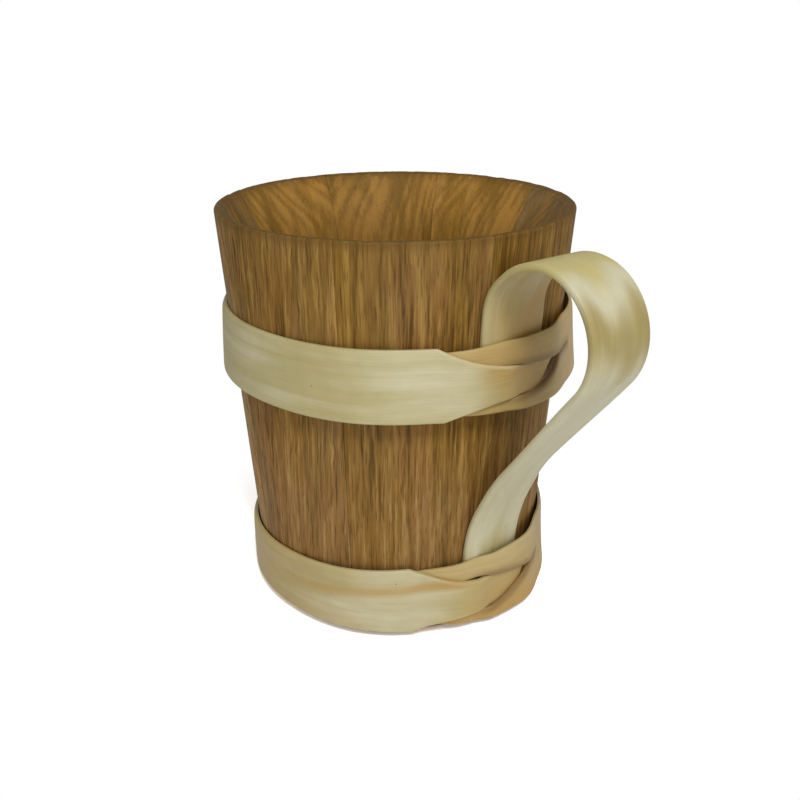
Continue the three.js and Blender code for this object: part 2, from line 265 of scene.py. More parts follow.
@dataclass(frozen=True)
class Figure:
    """What sets the wood of one board apart.

    Attributes:
        cut: How the board was cut.
        tone: Share of the greyer brown.
        wander: How far the fibres stray from a straight line, in millimetres.
        flame: How far short waves bend the fibres, in millimetres.
        lean: How far the fibres lean to the side for each millimetre up.
        shade: Brightness of its outer face, its own tone and on some boards painted light.
        hollow_shade: Brightness of its hollowed face, its own tone and on some boards painted light.
        turned: True for a board that was set with its other edge first.
    """

    cut: Cut
    tone: float = 0.1
    wander: float = 2.0
    flame: float = 0.2
    lean: float = 0.0
    shade: float = 1.0
    hollow_shade: float = 1.0
    turned: bool = False


@dataclass(frozen=True)
class OakFinish:
    """Oiled oak, a solid figure of growth rings, fibres and pores that runs up a board.

    Attributes:
        figure: What sets this board apart.
        facing: Direction that the board's outer face looks, as an angle round the axis.
        seed: Moves the pattern to another place in the log.
        lying: True for a board that lies flat, its fibres level.
        hollow: Radii, taken at the foot, between which the hollowed face gives way to the outer one.
        calm: Heights between which the outer face goes from a calm grain to a bold one.
        painted_deep_shade: Heights over which painted shade in the hollowed face fades upwards.
        fray: Heights between which the rim darkens, raised by the fibres.
    """

    figure: Figure
    facing: float
    seed: float
    lying: bool = False
    dark: Colour = (0.109, 0.054, 0.009)
    brown: Colour = (0.243, 0.126, 0.019)
    umber: Colour = (0.275, 0.139, 0.029)
    blush: Colour = (0.310, 0.143, 0.042)
    gold: Colour = (0.412, 0.241, 0.053)
    rose: Colour = (0.492, 0.302, 0.116)
    amber: Colour = (0.460, 0.240, 0.045)
    grey: Colour = (0.224, 0.151, 0.071)
    pore: Colour = (0.071, 0.037, 0.008)
    end_grain: Colour = (0.118, 0.063, 0.013)
    ring_width: float = 3.0
    taper: float = 0.035
    wall_slope: float = 0.064
    hollow: Range = (43.2, 44.7)
    calm: Range = (25.0, 80.0)
    painted_deep_shade: Range = (70.0, 116.0)
    fray: Range = (122.2, 125.8)
    bump: float = 0.09
    gloss: float = 0.1

    def place(self, board: ShaderBoard, axis: Vector) -> Place:
        """Place in the board: out through its face, along it and up the fibres, in millimetres.

        Args:
            board: The tree to add to.
            axis: A point on the axis of the vessel, in metres.

        Returns:
            The three values.
        """
        turn = -math.radians(self.facing)
        inputs = {
            "Vector": board.add("TexCoord", {}, "Object"),
            "Location": Matrix.Rotation(turn, 4, "Z") @ (axis * (-1 / MM)),
            "Rotation": (0.0, 0.0, turn),
            "Scale": (1 / MM, 1 / MM, 1 / MM),
        }
        out, along, up = board.parts(board.add("Mapping", inputs, vector_type="POINT"))
        return (up, along, out) if self.lying else (out, along, up)

    def rings(self, board: ShaderBoard, place: Place) -> Signal:
        """The early wood of the growth rings.

        Args:
            board: The tree to add to.
            place: Place in the board.

        Returns:
            0 in the late wood and 1 where the early wood is darkest.
        """
        out, along, up = place
        pith_out, pith_along = self.figure.cut.value
        aside = along + pith_along if self.figure.turned else along - pith_along
        radius = board.length(board.vector(out - pith_out, aside)) + up * self.taper
        uneven = board.noise(board.vector(radius * 0.11 + self.seed), detail=1.0)
        ring = board.math("FRACT", uneven * 2.6 + radius * (1 / self.ring_width))
        return ring.rise(0.0, 0.4) * ring.fall(0.4, 1.0)

    def material(self, name: str, axis: Vector) -> bpy.types.Material:
        """Makes the finish.

        Args:
            name: The material's name.
            axis: A point on the axis of the vessel, in metres.

        Returns:
            The new material.
        """
        board = ShaderBoard(bpy.data.materials.new(name))
        figure = self.figure
        place = self.place(board, axis)
        out, along, up = place
        depth = board.length(board.vector(out, along)) - up * self.wall_slope
        inside = 1.0 if self.lying else depth.fall(*self.hollow)
        starts = (self.seed, 2 * self.seed, 0.0)

        def layer(spot: Place, rates: Rates, detail: float = 1.0, roughness: float = 0.5) -> Signal:
            """Noise that runs at its own rate each way for each millimetre."""
            runs = (value * rate + start for value, rate, start in zip(spot, rates, starts))
            return board.noise(board.vector(*runs), detail, roughness)

        sway = layer(place, (0.03, 0.05, 0.018)) * figure.wander
        wave = layer(place, (0.1, 0.45, 0.2)) * (2 * figure.flame)
        cloud = layer(place, (0.05, 0.06, 0.02), detail=2.0)
        strayed = (out + sway, along + up * figure.lean + wave + sway * 2.0, up)
        grain = layer(strayed, (0.3, 0.46, 0.006), detail=2.0, roughness=0.6)
        fibre = layer(strayed, (1.2, 1.5, 0.006 + 0.06 * figure.flame), detail=3.0, roughness=0.6)
        vessels = layer(strayed, (2.2, 2.4, 0.03))
        band = layer(strayed, (0.1, 0.16, 0.012))
        stripe = layer(strayed, (0.7, 0.95, 0.004 + 0.03 * figure.flame))

        bold = grain * 1.25 + fibre * 1.6 - stripe.rise(0.5, 0.62) * 0.22 - 0.86
        marks = self.rings(board, strayed) * (band.rise(0.3, 0.65) * 0.2 + 0.08)
        planed = band * 1.3 + grain * 0.45 + fibre * 0.6 - marks - 0.36
        raised = up.rise(*self.calm)
        light = lerp(lerp(bold * 0.72 + 0.165, bold, raised), planed, inside)

        aged = board.blend(board.larger(raised, inside), self.umber, self.brown)
        flushed = board.blend(band.rise(0.45, 0.7) * 0.6, aged, self.blush)
        shadow = board.blend(light.rise(0.0, 0.52), self.dark, flushed)
        bright = board.blend(inside, board.blend(raised, self.rose, self.gold), self.amber)
        oiled = board.blend(light.rise(0.46, 1.05), shadow, bright)
        ash = board.shade(self.grey, light * 0.9 + 0.55)
        toned = board.blend(cloud.rise(0.3, 0.75) * (figure.tone * 1.6), oiled, ash)
        pores = vessels.rise(0.56, 0.70) * (0.5 - inside * 0.3)
        porous = board.blend(pores, toned, self.pore)
        level = lerp(figure.shade, figure.hollow_shade, inside)
        if self.lying:
            colour = board.shade(porous, level)
        else:
            # Painted shade: the hollowed face darkens deeper down, as the inside of a vessel does.
            painted_deep_shade = inside * up.fall(*self.painted_deep_shade) * 0.2
            # Painted light: the oak is lighter towards the foot and darker towards the rim, by height.
            wear_and_shade = board.shade(porous, (level - painted_deep_shade) * (1.07 - up * 0.0012))
            level_face = abs(board.parts(board.add("NewGeometry", {}, "Normal"))[2])
            end = (level_face + fibre * 0.9).rise(0.95, 1.4)
            rim = (up + fibre * 7.0).rise(*self.fray) * 0.7
            colour = board.blend(board.larger(end, rim) * 0.8, wear_and_shade, self.end_grain)

        height = (fibre - pores) * 0.5 + 0.5
        board.surface(colour, pores * 0.2 + 0.58, height, self.bump, self.gloss)
        return board.owner


@dataclass(frozen=True)
class Tint:
    """Another colour over part of a strip's length.

    Attributes:
        colour: The colour.
        place: Its middle, in millimetres along the strip.
        reach: Half its length, in millimetres.
        fade: Length over which it fades out at either end, in millimetres.
        share: Share of the colour where it is full.
        side: How much more of it there is for each millimetre across the strip.
    """

    colour: Colour
    place: float
    reach: float
    fade: float
    share: float
    side: float = 0.0


@dataclass(frozen=True)
class SplitWoodFinish:
    """Pale shaved wood whose fibres run along a strip.

    Attributes:
        seed: Moves the pattern to another place in the log.
        tints: Other colours along the strip, some of them painted sheen, reflection and shade.
        heart: Share of the honey colour in a streak of heartwood towards both ends of the strip.
        heart_start: Place of that streak across the strip at its start, in millimetres.
        heart_drift: How far the streak drifts across for each millimetre along.
        trimmed: Share of the paler wood at edges that were cut last.
    """

    seed: float
    tints: tuple[Tint, ...]
    heart: float = 0.0
    heart_start: float = 0.0
    heart_drift: float = 0.0
    trimmed: float = 0.65
    cream: Colour = (0.460, 0.392, 0.175)
    olive: Colour = (0.407, 0.336, 0.130)
    chalk: Colour = (0.625, 0.572, 0.372)
    honey: Colour = (0.472, 0.266, 0.059)
    fresh: Colour = (0.637, 0.531, 0.295)
    fleck: Colour = (0.189, 0.112, 0.041)
    # Painted contact shadow and soiling along the edges of a slot.
    shadow_and_grime: Colour = (0.200, 0.105, 0.030)
    bump: float = 0.05
    gloss: float = 0.4

    def material(self, name: str, length: float) -> bpy.types.Material:
        """Makes the finish, on the strip's own map.

        Args:
            name: The material's name.
            length: Length of the strip, in millimetres.

        Returns:
            The new material.
        """
        board = ShaderBoard(bpy.data.materials.new(name))
        strip_map = board.parts(board.add("UVMap", {}, uv_map="strip"))
        along, across, _ = (value * (1 / MM) for value in strip_map)

        def layer(
            spot: Signal, rates: Range, shift: float, detail: float = 2.0, roughness: float = 0.5
        ) -> Signal:
            """Noise that runs at its own rates along and across the strip for each millimetre."""
            runs = (along * rates[0], spot * rates[1], self.seed + shift)
            return board.noise(board.vector(*runs), detail, roughness)

        line = across + layer(across, (0.018, 0.08), 0.0, detail=1.0) * 2.0
        streak = layer(line, (0.007, 0.55), 3.0, detail=3.0, roughness=0.6)
        thread = layer(line, (0.05, 3.0), 7.0)
        patch = layer(line, (0.025, 0.15), 11.0)
        speck = layer(across, (0.35, 0.8), 17.0, detail=0.0)
        mottle = layer(line, (0.22, 0.34), 23.0)
        swell = layer(line, (0.02, 0.09), 29.0, detail=1.0)
        cut, slot_shadow_and_dirt = (board.add("Attribute", {}, "Fac", attribute_name=mark) for mark in Strip.marks)

        pale = board.blend(patch.rise(0.4, 0.85), self.cream, self.chalk)
        colour = board.blend(streak.rise(0.42, 0.74) * 0.5, pale, self.olive)
        strayed = along + swell * 26.0 - 13.0
        for tint in self.tints:
            there = abs(strayed - tint.place).fall(tint.reach - tint.fade, tint.reach)
            uneven = patch * 0.8 + streak * 0.5 + across * tint.side + (tint.share - 0.65)
            colour = board.blend(there * board.larger(uneven, 0.0), colour, tint.colour)
        if self.heart:
            core = abs(line - along * self.heart_drift - (self.heart_start + 1.0)).fall(0.1, 2.6)
            ends = board.larger(along.fall(60.0, 100.0), along.rise(length - 110.0, length - 40.0))
            strength = core * (ends * 0.8 + 0.2) * (streak * 0.7 + 0.35)
            colour = board.blend(strength * self.heart, colour, self.honey)
        lined = board.shade(colour, mottle * 0.16 + thread * 0.22 + 0.81)
        edged = board.blend(cut * self.trimmed, lined, self.fresh)
        # Painted shadow and soiling brown the slotted end along its slot.
        shadowed_and_grimed = board.blend(slot_shadow_and_dirt * (patch * 0.8 + 0.35), edged, self.shadow_and_grime)
        spotted = board.blend(speck.rise(0.86, 0.89) * 0.7, shadowed_and_grimed, self.fleck)

        height = thread * 0.6 + patch * 0.4
        board.surface(spotted, streak * 0.2 + 0.34, height, self.bump, self.gloss)
        return board.owner


@dataclass
class Bench:
    """Turns finished bmeshes into pieces of the tankard.

    Attributes:
        axis: Point where the vessel's axis meets the floor, in metres.
        crease: Edges sharper than this angle stay sharp.
    """

    axis: Vector
    crease: float = 38.0

    def finish(self, name: str, bm: bmesh.types.BMesh, wood: bpy.types.Material) -> None:
        """Makes an object that stands for the CAD node of that name.

        Args:
            name: The node's name.
            bm: The shape, in millimetres about the vessel's axis. It is freed.
            wood: The material.
        """
        to_metres = Matrix.Translation(self.axis) @ Matrix.Scale(MM, 4)
        bmesh.ops.transform(bm, matrix=to_metres, verts=bm.verts)
        bmesh.ops.recalc_face_normals(bm, faces=bm.faces)
        for face in bm.faces:
            face.smooth = True
        for edge in bm.edges:
            edge.smooth = edge.calc_face_angle(0.0) < math.radians(self.crease)
        mesh = bpy.data.meshes.new(name)
        bm.to_mesh(mesh)
        bm.free()
        mesh.materials.append(wood)
        piece = put(f"{name}_dressed", mesh)
        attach(piece, "root")
        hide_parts(name)
        LOG.info("%s: %d faces", name, len(mesh.polygons))


@dataclass(frozen=True)
class Vessel:
    """The plain form of the body, which the pieces are fitted to."""

    height: float = 122.0
    foot_radius: float = 45.4
    rim_radius: float = 53.2
    wall: float = 9.5
    croze_depth: float = 3.0

    @property
    def slope(self) -> float:
        """How far the wall leans out for each millimetre up."""
        return (self.rim_radius - self.foot_radius) / self.height

    @property
    def lean(self) -> float:
        """The lean of the wall, in radians."""
        return math.atan(self.slope)

    def outer(self, up: float) -> float:
        """Radius of the outside at a height."""
        return self.foot_radius + self.slope * up

    def inner(self, up: float) -> float:
        """Radius of the inside at a height, below the bevelled rim."""
        return self.outer(up) - self.wall


@dataclass
class Staves:
    """The oak staves, which share one section and differ in their figure.

    Attributes:
        rim_wear: Depth of the deepest nicks in the rim.
        nicks: Rates of the noises that make the nicks, for each millimetre, and their shares.
    """

    vessel: Vessel
    count: int = 8
    joint_gap: float = 0.08
    joint_ease: float = 0.12
    first_joint: float = -8.2
    rim_land: float = 2.6
    bevel_depth: float = 15.0
    bevel_ease: float = 6.0
    rim_ease: float = 1.0
    rim_round: float = 1.6
    rim_wear: float = 0.3
    worn_height: float = 1.2
    nicks: tuple[Range, ...] = ((0.25, 1.0), (0.6, 0.5))
    foot_ease: float = 0.8
    croze_bottom: float = 9.7
    croze_top: float = 14.3
    arc_steps: int = 48
    log_step: float = 7.3
    figures: tuple[Figure, ...] = (
        Figure(Cut.RIFT, wander=1.5),
        Figure(Cut.FLAT, tone=0.6, wander=3.0, flame=0.3, hollow_shade=1.05),
        # The hollowed face is brightened with painted light against the shade inside on the right.
        Figure(Cut.RIFT, lean=0.02, hollow_shade=1.22),
        Figure(Cut.RIFT, tone=0.05, wander=3.0, flame=0.3, hollow_shade=0.99),
        Figure(Cut.FLAT, lean=-0.02, hollow_shade=1.1, turned=True),
        # The outer face is brightened with a painted sheen along the grazing left edge, over its own
        # grey tone.
        Figure(Cut.QUARTER, tone=1.0, flame=0.4, lean=0.2, shade=1.38, hollow_shade=0.7),
        Figure(Cut.RIFT, tone=0.25, wander=1.2, flame=0.5, lean=-0.06, shade=1.02),
        Figure(Cut.QUARTER, tone=0.15, wander=0.6, flame=0.1, shade=0.97),
    )

    @property
    def share(self) -> float:
        """Angle that one stave takes up."""
        return 360.0 / self.count

    def section(self) -> bmesh.types.BMesh:
        """The section of the wall as one face, its corners eased.

        Returns:
            A new bmesh with the face in the plane of the handle.
        """
        vessel = self.vessel
        bevel_foot = vessel.height - self.bevel_depth
        croze_radius = vessel.inner(self.croze_top) + vessel.croze_depth
        corners = [
            (vessel.foot_radius, 0.0, self.foot_ease),
            (vessel.rim_radius, vessel.height, self.rim_ease),
            (vessel.rim_radius - self.rim_land, vessel.height, self.rim_round),
            (vessel.inner(bevel_foot), bevel_foot, self.bevel_ease),
            (vessel.inner(self.croze_top), self.croze_top, 0.0),
            (croze_radius, self.croze_top, 0.0),
            (croze_radius, self.croze_bottom, 0.0),
            (vessel.inner(self.croze_bottom), self.croze_bottom, 0.0),
            (vessel.inner(0.0), 0.0, self.foot_ease),
        ]
        bm = bmesh.new()
        ring = [bm.verts.new((radius, 0.0, up)) for radius, up, _ in corners]
        bm.faces.new(ring)
        for vertex, (_, _, ease) in zip(ring, corners):
            if ease > 0.0:
                bmesh.ops.bevel(
                    bm, geom=[vertex], offset=ease, affect="VERTICES", segments=6, profile=0.5,
                    material=-1,
                )
        bmesh.ops.remove_doubles(bm, verts=bm.verts, dist=WELD)
        return bm

    def stave(self, number: int) -> bmesh.types.BMesh:
        """One stave, its section swept round, its long edges eased and its rim nicked with wear.

        Args:
            number: The stave's number, from 1.

        Returns:
            The new bmesh.
        """
        bm = self.section()
        top = self.vessel.height
        gap = math.degrees(self.joint_gap / self.vessel.rim_radius)
        start = math.radians(self.first_joint + (number - 1) * self.share + gap / 2)
        spin(bm, math.radians(self.share - gap), self.arc_steps)
        bmesh.ops.recalc_face_normals(bm, faces=bm.faces)
        ends = [face for face in bm.faces if len(face.verts) > 4]
        arrises = [edge for face in ends for edge in face.edges]
        bmesh.ops.bevel(
            bm, geom=arrises, offset=self.joint_ease, affect="EDGES", segments=2, profile=0.5,
            material=-1, clamp_overlap=True,
        )
        bmesh.ops.rotate(bm, verts=bm.verts, matrix=Matrix.Rotation(start, 3, "Z"))
        for vertex in bm.verts:
            wear_and_shade = rise(vertex.co.z, top - self.worn_height, top)
            nick = sum(share * max(noise.noise(vertex.co * rate), 0.0) for rate, share in self.nicks)
            vertex.co.z -= self.rim_wear * wear_and_shade * nick
        return bm

    def build(self, bench: Bench) -> None:
        """Makes and dresses every stave.

        Args:
            bench: Where pieces are finished.
        """
        for number, figure in enumerate(self.figures, start=1):
            facing = self.first_joint + (number - 0.5) * self.share
            oak = OakFinish(figure, facing, seed=number * self.log_step)
            name = f"stave_{number}"
            bench.finish(name, self.stave(number), oak.material(f"oak_{name}", bench.axis))


@dataclass
class Head:
    """The recessed bottom disc, its edge thinned to fit the groove in the staves."""

    vessel: Vessel
    bottom: float = 8.0
    top: float = 16.0
    edge_bottom: float = 10.0
    edge_top: float = 14.0
    bevel_run: float = 5.0
    clearance: float = 0.3
    facets: int = 96
    oak: OakFinish = OakFinish(
        Figure(Cut.RIFT, tone=0.4, wander=3.0), facing=20.0, seed=81.0, lying=True
    )

    def build(self, bench: Bench) -> None:
        """Makes and dresses the disc.

        Args:
            bench: Where pieces are finished.
        """
        vessel = self.vessel
        seat = vessel.inner(self.bottom) - self.clearance
        rim = vessel.inner(self.edge_top) + vessel.croze_depth - self.clearance
        flat = seat - self.bevel_run
        under, over = self.edge_bottom, self.edge_top
        below = [(0.0, self.bottom), (flat, self.bottom), (seat, under), (rim, under)]
        above = [(rim, over), (seat, over), (flat, self.top), (0.0, self.top)]
        bm = bmesh.new()
        line = [bm.verts.new((radius, 0.0, up)) for radius, up in below + above]
        for pair in zip(line, line[1:]):
            bm.edges.new(pair)
        spin(bm, math.tau, self.facets, merge=True)
        bmesh.ops.remove_doubles(bm, verts=bm.verts, dist=WELD)
        bench.finish("head", bm, self.oak.material("oak_head", bench.axis))


class Strip:
    """A flat blank of split wood, which is shaped in plan, thickened, mapped and then bent."""

    edge_rows = (0.0, 0.012, 0.035, 0.08, 0.16, 0.3, 0.5, 0.7, 0.84, 0.92, 0.965, 0.988, 1.0)
    # The second mark holds painted shadow and soiling along a hoop's slot.
    marks = ("fresh", "slot_shadow_and_dirt")

    def __init__(self, stations: Sequence[float], rows: Sequence[float]) -> None:
        """Lays out the blank as a flat grid.

        Args:
            stations: Places of its columns, along the strip.
            rows: Places of its rows, across the strip.
        """
        self.bm = bmesh.new()
        columns = len(stations) - 1
        lines = len(rows) - 1
        bmesh.ops.create_grid(self.bm, x_segments=columns, y_segments=lines, size=0.5)
        for vertex in self.bm.verts:
            column = round((vertex.co.x + 0.5) * columns)
            line = round((vertex.co.y + 0.5) * lines)
            vertex.co = (stations[column], rows[line], 0.0)

    def split(self, row: float, start: float, end: float) -> None:
        """Splits the blank along one of its rows, as a knife would.

        Args:
            row: The row.
            start: Station where the split begins.
            end: Station where it ends.
        """
        tiny = 1e-4
        cut = [
            edge
            for edge in self.bm.edges
            if all(abs(v.co.y - row) < tiny and start - tiny <= v.co.x <= end + tiny for v in edge.verts)
        ]
        bmesh.ops.split_edges(self.bm, edges=cut)

    def shape(self, plan: Callable[[float, float, bool], float]) -> None:
        """Moves each point across the strip.

        Args:
            plan: Gives the new place across from the station, the row and whether the point's wood
                lies above that row.
        """
        above = {}
        for vertex in self.bm.verts:
            middles = [face.calc_center_median().y for face in vertex.link_faces]
            above[vertex] = sum(middles) / len(middles) > vertex.co.y
        for vertex, higher in above.items():
            vertex.co.y = plan(vertex.co.x, vertex.co.y, higher)

    def thicken(self, along: float, thickness: float) -> None:
        """Gives the blank a thickness of one, from its back at 0 to its face at 1, and maps its grain.

        Args:
            along: Millimetres along the strip for each unit between stations.
            thickness: Thickness that it will have, in millimetres.
        """
        bmesh.ops.solidify(self.bm, geom=self.bm.faces, thickness=1.0)
        lowest = min(vertex.co.z for vertex in self.bm.verts)
        bmesh.ops.translate(self.bm, verts=self.bm.verts, vec=(0.0, 0.0, -lowest))
        layer = self.bm.loops.layers.uv.new("strip")
        start = min(vertex.co.x for vertex in self.bm.verts)
        for face in self.bm.faces:
            for loop in face.loops:
                x, y, z = loop.vert.co
                loop[layer].uv = ((x - start) * along * MM, (y + z * thickness) * MM)

    def mark(self, name: str, level: Callable[[float, float], float]) -> None:
        """Gives every point of the flat blank a value that its finish reads.

        Args:
            name: Name of the value.
            level: Gives the value from the station and the place across.
        """
        layer = self.bm.verts.layers.float.new(name)
        for vertex in self.bm.verts:
            vertex[layer] = level(vertex.co.x, vertex.co.y)

    def bend(self, place: Callable[[float, float, float], Vector]) -> None:
        """Moves every point of the thick blank to the place it has on the tankard."""
        for vertex in self.bm.verts:
            vertex.co = place(*vertex.co)


@dataclass
class Handle:
    """One bent strip, from a tail under the upper hoop over the crest to a tail under the lower one.

    Attributes:
        tail_spread: How much wider the upper tail is than the rest, as a share.
        tail_ends: Distances along the strip between which its spread and shift die away.
        cup_fade: Distance from the wall over which the strip loses the wall's curve.
        turns: The runs of the centre line, each a length and the turn to the right over it.
    """

    vessel: Vessel
    width: float = 20.3
    thickness: float = 2.0
    crest_radius: float = 17.6
    leaves_wall: float = 101.5
    slant: float = 34.2
    foot_radius: float = 66.0
    twist: float = 4.0
    upper_tail: float = 76.7
    lower_tail: float = 5.6
    tail_spread: float = 0.08
    tail_shift: float = 0.6
    tail_ends: Range = (18.0, 55.0)
    clearance: float = 0.15
    cup_fade: float = 5.0
    edge_round: float = 0.9
    edge_left: float = 0.3
    station_step: float = 1.2
    seat: float = field(init=False)
    turns: list[Range] = field(init=False)
    wood: SplitWoodFinish = SplitWoodFinish(
        seed=4.0,
        tints=(
            # Partly the tail's own tan and partly painted shadow of the crest, heavier on the tail's
            # right half.
            Tint(TAN, place=0.0, reach=48.0, fade=24.0, share=0.9, side=0.07),
            # Painted sheen where the crest's shoulder catches the key light.
            Tint(PAINTED_SHEEN, place=64.0, reach=11.0, fade=10.0, share=1.2),
            Tint(STRAW, place=51.5, reach=14.0, fade=10.0, share=0.95),
            # Painted shade where the crest's outer side turns away from the light.
            Tint(PAINTED_SHADE_KHAKI, place=75.0, reach=11.0, fade=10.0, share=0.78),
            # Painted reflection of the pale floor on the lower run, which faces down.
            Tint(PAINTED_SHEEN, place=122.0, reach=46.0, fade=14.0, share=0.8),
        ),
    )

    def __post_init__(self) -> None:
        """Works out the runs of the centre line."""
        slant = math.radians(self.slant)
        crest, foot = self.crest_radius, self.foot_radius
        self.seat = self.clearance + self.thickness / 2
        straight = (crest * (1 + math.cos(slant)) - foot * (1 - math.cos(slant))) / math.sin(slant)
        landing = self.leaves_wall - (crest + foot) * math.sin(slant) - straight * math.cos(slant)
        self.turns = [
            (self.leaves_wall - self.upper_tail, 0.0),
            (crest * (math.pi + slant), math.pi + slant),
            (straight, 0.0),
            (foot * slant, -slant),
            (landing - self.lower_tail, 0.0),
        ]

    @property
    def length(self) -> float:
        """Length of the centre line."""
        return sum(length for length, _ in self.turns)

    def centre(self, along: float) -> tuple[Vector, Vector]:
        """Follows the centre line.

        Args:
            along: How far along it.

        Returns:
            The place and the direction there, as distance out from the wall and height up along it.
        """
        place = Vector((self.seat, self.upper_tail))
        heading = math.pi / 2
        left = along
        for length, turn in self.turns:
            run = min(max(left, 0.0), length)
            if turn:
                radius = length / turn
                centre = place + Vector((math.sin(heading), -math.cos(heading))) * radius
                heading -= turn * run / length
                place = centre - Vector((math.sin(heading), -math.cos(heading))) * radius
            else:
                place = place + Vector((math.cos(heading), math.sin(heading))) * run
            left -= length
        return place, Vector((math.cos(heading), math.sin(heading)))

    def place(self, along: float, across: float, depth: float) -> Vector:
        """Bends a point of the flat strip to its place.

        Args:
            along: Distance along the strip.
            across: Distance across it from its middle.
            depth: From 0 at the back to 1 at the face.

        Returns:
            The place about the vessel's axis.
        """
        centre, heading = self.centre(along)
        tail, crest, straight, foot, _ = (length for length, _ in self.turns)
        slack = clamp((along - tail - crest) / (straight + foot))
        twist = math.radians(self.twist) * math.sin(math.pi * slack) ** 2

        inset = clamp((self.width / 2 - abs(across)) / self.edge_round)
        half = self.thickness / 2 * lerp(self.edge_left, 1.0, math.sqrt(1 - (1 - inset) ** 2))
        through = (depth * 2 - 1) * half
        spread = fall(along, *self.tail_ends)
        wide = across * (1 + self.tail_spread * spread) + self.tail_shift * spread
        side = wide * math.cos(twist) + through * math.sin(twist)
        off = through * math.cos(twist) - wide * math.sin(twist)
        out = centre.x - heading.y * off
        up = centre.y + heading.x * off

        lean = self.vessel.lean
        radius = self.vessel.foot_radius + out * math.cos(lean) + up * math.sin(lean)
        bend = side / radius
        cup = fall(centre.x - self.seat, 0.0, self.cup_fade)
        x = lerp(radius, radius * math.cos(bend), cup)
        y = lerp(side, radius * math.sin(bend), cup)
        return Vector((x, y, up * math.cos(lean) - out * math.sin(lean)))

    def build(self, bench: Bench) -> None:
        """Makes and dresses the strip.

        Args:
            bench: Where pieces are finished.
        """
        rows = [(share - 0.5) * self.width for share in Strip.edge_rows]
        strip = Strip(steps(0.0, self.length, self.station_step), rows)
        strip.thicken(along=1.0, thickness=self.thickness)
        strip.bend(self.place)
        bench.finish("handle", strip.bm, self.wood.material("handle_wood", self.length))


@dataclass(frozen=True)
class Lock:
    """The cuts of a hoop's lock: a tongue at one end of the strip and a slot in the other.

    Spans are angles from the middle of the lock. A pair of them is the start and end of a change.

    Attributes:
        angle: Angle of the lock's middle round the axis.
        line: Height of the slot's closing line above the middle of the strip.
        rise: Height of the slot above that line.
        drop: Depth of the slot below it.
        drop_curve: How full the slot's lower edge is on its right.
        top_shoulder: Span to the left where the tongue's upper edge begins to fall.
        bottom_shoulder: Span to the left where its lower edge begins to climb.
        release: Where the slotted end comes down to the wall.
        arm: Where the arm below the slot comes to stand out.
        shoulder: Where the knife's cut begins, counted from a shoulder.
    """

    angle: float
    line: float
    rise: float
    drop: float
    drop_curve: float
    slot_right: float
    top_shoulder: float
    bottom_shoulder: float
    bottom_taper: float
    tip: Range = (8.0, 17.0)
    release: Range = (40.0, 76.0)
    arm: Range = (5.0, 30.0)
    arm_release: Range = (50.0, 100.0)
    shoulder: Range = (-1.0, 2.0)
    # Spans over which the painted shadow and soiling along the slot come in and die away.
    shadow_and_dirt: Range = (-8.0, 4.0)
    shadow_and_dirt_end: Range = (26.0, 40.0)
    slot_left: float = 16.0
    left_curve: float = 4.0
    slit: float = 32.0
    slit_height: float = 0.2
    line_end: float = 150.0
    crossing: float = 4.0
    thickness: float = 1.2
    top_clearance: float = 0.8
    bottom_clearance: float = 0.1
    top_taper: float = 32.0
    tip_width: float = 2.0
    tip_end: float = 30.0
    inner_end: float = 40.0
    inner_end_thickness: float = 0.8
    inner_end_inset: float = 2.4
    inner_end_release: float = 8.0
    overlap_ramp: float = 40.0

    def crossed(self, span: float) -> float:
        """How far the tongue has gone through the slot, from 0 to 1."""
        return rise(span, -self.crossing, self.crossing)


@dataclass(frozen=True)
class Column:
    """The strip of a hoop at one angle: its edges' heights, its thickness and its lift off the wall.

    Attributes:
        slot: Heights of the slot's edges in the slotted end, alike where the slot is shut.
        arm: How far its lower edge stands out past the tongue's tip.
        shadow_and_dirt: How brown the slot's edges are from painted shadow and soiling, from 0 to 1.
        cuts: How far the knife cut its lower and upper edges, from 0 to 1.
    """

    low: float
    high: float
    thickness: float
    lift: float
    slot: Range | None = None
    arm: float = 0.0
    shadow_and_dirt: float = 0.0
    cuts: Range = (0.0, 0.0)

    def from_slot(self, up: float) -> float:
        """Distance of a height from the edges of an open slot."""
        is_open = self.slot is not None and self.slot[1] > self.slot[0]
        return min(abs(up - edge) for edge in self.slot) if is_open else math.inf


